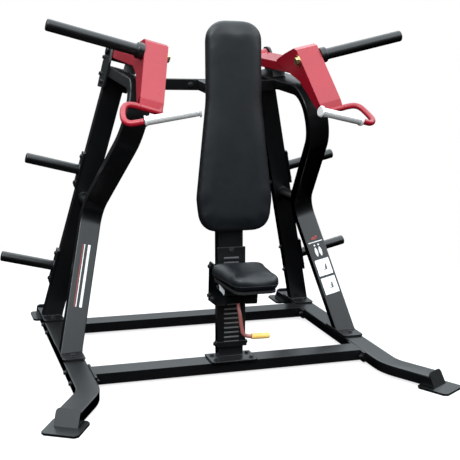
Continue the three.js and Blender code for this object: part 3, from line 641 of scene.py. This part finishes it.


# ---- Small marks and painted slot highlights ----
def flat_patch(shell, centre, across, up, outline, thick=0.0004):
    """Thin closed patch of an (x, y) outline lying on a face."""
    out = across.cross(up).normalized()
    rings = [[shell.verts.new(centre + across * x + up * y + out * depth) for x, y in outline]
             for depth in (0.0, thick)]
    shell.faces.new(rings[0][::-1])
    shell.faces.new(rings[1])
    count = len(outline)
    for k in range(count):
        following = (k + 1) % count
        shell.faces.new((rings[0][k], rings[0][following], rings[1][following], rings[1][k]))


def oval(width, height, x=0.0, y=0.0, pointed=1.0):
    """Outline of an ellipse; a pointed one narrows towards its top and bottom."""
    points = []
    for k in range(24):
        angle = 2 * math.pi * k / 24
        narrow = abs(math.sin(angle)) ** pointed if pointed > 1 else 0
        points.append((x + width / 2 * math.cos(angle) * (1 - 0.35 * narrow),
                       y + height / 2 * math.sin(angle)))
    return points


def panel(width, height, x=0.0, y=0.0, corner=0.003):
    """Outline of a rectangle with round corners."""
    points = []
    for quarter, (sx, sy) in enumerate(((1, 1), (-1, 1), (-1, -1), (1, -1))):
        for k in range(5):
            angle = math.pi / 2 * (quarter + k / 4)
            points.append((x + sx * (width / 2 - corner) + corner * math.cos(angle),
                           y + sy * (height / 2 - corner) + corner * math.sin(angle)))
    return points


MARK_LIFT = 0.0002       # marks lie just off the paint, and pictograms on top of their placards
PICTOGRAM_LIFT = 0.0020
STRIPES_V = 0.340        # height of the middle of the stripes along the frame
STRIPES_LENGTH = 0.300
MARKS = {
    "mark_bodies": ("white_ink", 0.392, [oval(0.016, 0.050, -0.011, 0, pointed=2),
                                         oval(0.016, 0.050, 0.011, 0, pointed=2)]),
    "mark_heads": ("white_ink", 0.424, [oval(0.009, 0.009, -0.011), oval(0.009, 0.009, 0.011)]),
    "mark_line": ("white_ink", 0.440, [panel(0.076, 0.0045, corner=0.001)]),
    "mark_arch": ("red_ink", 0.458, [oval(0.034, 0.014), oval(0.012, 0.018, 0.012, 0.004)]),
}
PICTOGRAM = (panel(0.012, 0.020, 0.010, -0.004, 0.004), oval(0.010, 0.010, 0.012, 0.010),
             panel(0.020, 0.004, 0.004, -0.014, 0.0015))
PICTOGRAM_HEIGHTS = {"upper_pictogram": 0.316, "lower_pictogram": 0.227}
# Stripes as (name, finish, sideways offset, width).
STRIPES = (("stripe_wide", "white_ink", 0.010, 0.012),
           ("stripe_narrow", "white_ink", -0.012, 0.004),
           ("stripe_red", "red_ink", -0.020, 0.004))


def leg_axes(side):
    """The directions across, up and out of the front face of a front leg, seen from the front."""
    across = side * side_axis(side, u=1)
    up = side_axis(side, t=math.sin(LEG_SLOPE), v=math.cos(LEG_SLOPE))
    return across, up, across.cross(up).normalized()


def add_mark(name, body, finish, centre, across, up, outlines):
    shell = bmesh.new()
    for outline in outlines:
        flat_patch(shell, centre, across, up, outline)
    add_piece(name, mesh_from(name, shell, smooth=False), body, "placard", finish)


def add_marks():
    """Wordless marks on the right leg, plain stripes on the left one and a blank carriage sticker."""
    across, up, out = leg_axes(1)
    for name, (finish, v, outlines) in MARKS.items():
        centre = at_side(1, 0, leg_front(v), v) + out * MARK_LIFT
        add_mark(name, "frame", finish, centre, across, up, outlines)
    for name, v in PICTOGRAM_HEIGHTS.items():
        centre = at_side(1, 0, leg_front(v), v) + out * PICTOGRAM_LIFT
        add_mark(name, "frame", "grey_ink", centre, across, up, PICTOGRAM)
    across, up, out = leg_axes(-1)
    centre = at_side(-1, 0, leg_front(STRIPES_V), STRIPES_V) + out * MARK_LIFT
    for name, finish, offset, width in STRIPES:
        outline = panel(width, STRIPES_LENGTH, x=offset, corner=0.0015)
        add_mark(name, "frame", finish, centre, across, up, [outline])
    add_mark("carriage_sticker", "seat", "white_ink", Vector((-0.0742, COLUMN_Y - 0.004, 0.404)),
             Vector((0, -1, -0.12)).normalized(), Vector((0, -0.12, 1)).normalized(), [panel(0.080, 0.024)])


STRAP_WIDTH = 0.024
STRAP_THICKNESS = 0.004


def add_plate_clamp():
    """Folded strap round the foot of the slotted plate, bolted at both ends."""
    shell = bmesh.new()
    front = plate_front(CLAMP_Z)
    across, up, back = Vector((1, 0, 0)), Vector((0, POST_SLOPE, 1)).normalized(), Vector((0, 1, 0))
    flat_patch(shell, Vector((0, front - 0.0003, CLAMP_Z)), across, up,
               panel(0.143, STRAP_WIDTH, corner=0.002), STRAP_THICKNESS)
    for side in (-1, 1):
        flat_patch(shell, Vector((side * 0.0675, front + 0.014, CLAMP_Z)), back * side, up,
                   panel(0.036, STRAP_WIDTH, corner=0.002), STRAP_THICKNESS)
    piece = add_piece("plate_clamp", mesh_from("plate_clamp", shell, smooth=False), "frame", "frame")
    round_edges(piece, 0.0008)


def add_slot_highlight_patches():
    """Lighter grey patches inside the slots of the latch plate: a painted highlight where the slot teeth
    catch the light.
    """
    shell = bmesh.new()
    outline = panel(0.0690, 0.0074, corner=0.0015)
    for k in range(SLOT_COUNT):
        z = SLOT_FIRST + SLOT_PITCH * k
        y = plate_front(z) + 0.0025
        flat_patch(shell, Vector((0, y + 0.005, z)), Vector((1, 0, 0)), Vector((0, 0, 1)), outline,
                   thick=0.005)
    mesh = mesh_from("slot_highlight_patches", shell, smooth=False)
    add_piece("slot_highlight_patches", mesh, "frame", "frame", "slot_highlight")


# ---- Upholstery ----
VOXEL = 0.006
SWELL_CAP = 0.010
SWELL_STEPS = 20         # frames of cloth simulation
SMOOTHING_ROUNDS = 40    # foam evens out the small wrinkles of the simulated cover
SLIM = 0.006             # the pad starts thinner at its front, which the swelling fills again
BASE_INSET = 0.0055      # the cover is pulled in where it's stapled to the board
SIDE_FULLNESS = 0.003
LOOSE_FROM = 0.45        # share of the thickness, from the board, over which the cover comes loose
SEAM_RADIUS = 0.0014
SEAM_STEPS = 48
BACK_FRONT = Vector((0, COLUMN_Y + 0.035, 0.781))
BACK_THICKNESS = 0.050
SEAT_TOP = 0.525
SEAT_THICKNESS = 0.068
SEAT_SEAM_Z = 0.481


def relaxed(values, links, loose, rounds):
    """The values, one vector per vertex, evened out over the neighbours where the cover is loose."""
    for _ in range(rounds):
        values = [
            value.lerp(sum((values[other] for other in near), Vector()) / len(near), 0.5 * amount)
            for value, near, amount in zip(values, links, loose)
        ]
    return values


def swollen(piece, loose, links):
    """Places of the vertices after a cloth simulation has blown the cover up."""
    start = [vertex.co.copy() for vertex in piece.data.vertices]
    pinned = piece.vertex_groups.new(name="pinned")
    for index, amount in enumerate(loose):
        pinned.add([index], 1.0 - amount, "REPLACE")
    cloth = piece.modifiers.new("cloth", "CLOTH")
    cloth.settings.vertex_group_mass = "pinned"
    cloth.settings.use_pressure = True
    cloth.settings.uniform_pressure_force = 4.0
    cloth.settings.effector_weights.gravity = 0.0
    cloth.settings.quality = 5
    cloth.point_cache.frame_start = 1
    cloth.point_cache.frame_end = SWELL_STEPS
    for step in range(1, SWELL_STEPS + 1):
        bpy.context.scene.frame_set(step)
    shown = piece.evaluated_get(bpy.context.evaluated_depsgraph_get())
    moved = [vertex.co.copy() for vertex in shown.data.vertices]
    piece.modifiers.remove(cloth)
    bpy.context.scene.frame_set(1)
    shifts = []
    for here, there in zip(start, moved):
        shift = there - here
        if shift.length > SWELL_CAP:
            shift *= SWELL_CAP / shift.length
        shifts.append(shift)
    shifts = relaxed(shifts, links, loose, SMOOTHING_ROUNDS)
    return [here + shift for here, shift in zip(start, shifts)]


def add_cushion(name, node, body, depth, front, thickness, rounding):
    """Crowned pad: the CAD solid remeshed, its free edges rounded, then swollen from its board."""
    source = NODES[node]
    rough = bpy.data.objects.new(name + "_rough", source.data.copy())
    rough.matrix_world = source.matrix_world
    bpy.context.scene.collection.objects.link(rough)
    remesh = rough.modifiers.new("remesh", "REMESH")
    remesh.mode = "VOXEL"
    remesh.voxel_size = VOXEL
    mesh = bpy.data.meshes.new_from_object(rough.evaluated_get(bpy.context.evaluated_depsgraph_get()))
    mesh.transform(source.matrix_world)
    bpy.data.objects.remove(rough)
    mesh.name = name
    mesh.materials.clear()
    piece = bpy.data.objects.new(name, mesh)
    bpy.context.scene.collection.objects.link(piece)

    sideways = [vertex.normal - front * vertex.normal.dot(front) for vertex in mesh.vertices]
    loose = []
    for vertex, way in zip(mesh.vertices, sideways):
        share = max(0.0, min(1.0, (thickness - depth(vertex.co)) / (LOOSE_FROM * thickness)))
        loose.append(share)
        vertex.co -= front * (SLIM * (1.0 - depth(vertex.co) / thickness))
        vertex.co += way * (SIDE_FULLNESS * share - BASE_INSET * (1.0 - share))
    shell = bmesh.new()
    shell.from_mesh(mesh)
    shell.verts.ensure_lookup_table()
    links = [[edge.other_vert(vertex).index for edge in vertex.link_edges] for vertex in shell.verts]
    shell.free()
    places = relaxed([vertex.co.copy() for vertex in mesh.vertices], links, loose, rounding)
    for vertex, place in zip(mesh.vertices, places):
        vertex.co = place
    for vertex, place in zip(mesh.vertices, swollen(piece, loose, links)):
        vertex.co = place
    for face in mesh.polygons:
        face.use_smooth = True
    mesh.materials.append(MATERIALS["vinyl"])
    finer = piece.modifiers.new("finer", "SUBSURF")
    finer.levels = finer.render_levels = 1
    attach(piece, body)
    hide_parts(node)
    return piece


def add_seam(name, cushion, body, start, end, side_way, end_way):
    """Sewn welt round the side of a cushion, found by looking inwards at it from a stadium path."""
    shell = bmesh.new()
    shell.from_mesh(cushion.data)
    tree = BVHTree.FromBMesh(shell)
    shell.free()
    looks = []
    for near, far, way in ((start, end, side_way), (end, start, -side_way)):
        looks += [(near.lerp(far, k / SEAM_STEPS), way) for k in range(SEAM_STEPS + 1)]
        looks += [(far, Quaternion(side_way.cross(end_way), math.pi * k / SEAM_STEPS) @ way)
                  for k in range(1, SEAM_STEPS)]
    points = []
    for centre, way in looks:
        hit = tree.ray_cast(centre + way * 0.4, -way)[0]
        if hit:
            points.append(hit)
    mesh = tube_mesh(name, [points], SEAM_RADIUS, rippled=False)
    for face in mesh.polygons:
        face.use_smooth = True
    add_piece(name, mesh, body, "vinyl")


def add_upholstery():
    right, rear, up = Vector((1, 0, 0)), Vector((0, 1, 0)), Vector((0, 0, 1))
    back_out = Vector((0, -1, BACK_SLOPE)).normalized()
    back_up = Vector((0, BACK_SLOPE, 1)).normalized()
    back = add_cushion("back_cushion", "back_pad", "frame",
                       lambda place: (BACK_FRONT - place).dot(back_out),
                       back_out, BACK_THICKNESS, 8)
    middle = BACK_FRONT - back_out * 0.034
    add_seam("back_seam", back, "frame", middle + back_up * 0.09, middle + back_up * 0.66, right, back_up)
    seat = add_cushion("seat_cushion", "seat_pad", "seat",
                       lambda place: SEAT_TOP - place.z,
                       up, SEAT_THICKNESS, 7)
    add_seam("seat_seam", seat, "seat", Vector((0, COLUMN_Y - 0.17, SEAT_SEAM_Z)),
             Vector((0, COLUMN_Y - 0.07, SEAT_SEAM_Z)), right, rear)


dress_cad_nodes()
add_camera()
add_studio()
add_frame_bolts()
add_welds()
add_marks()
add_slot_highlight_patches()
add_plate_clamp()
add_upholstery()
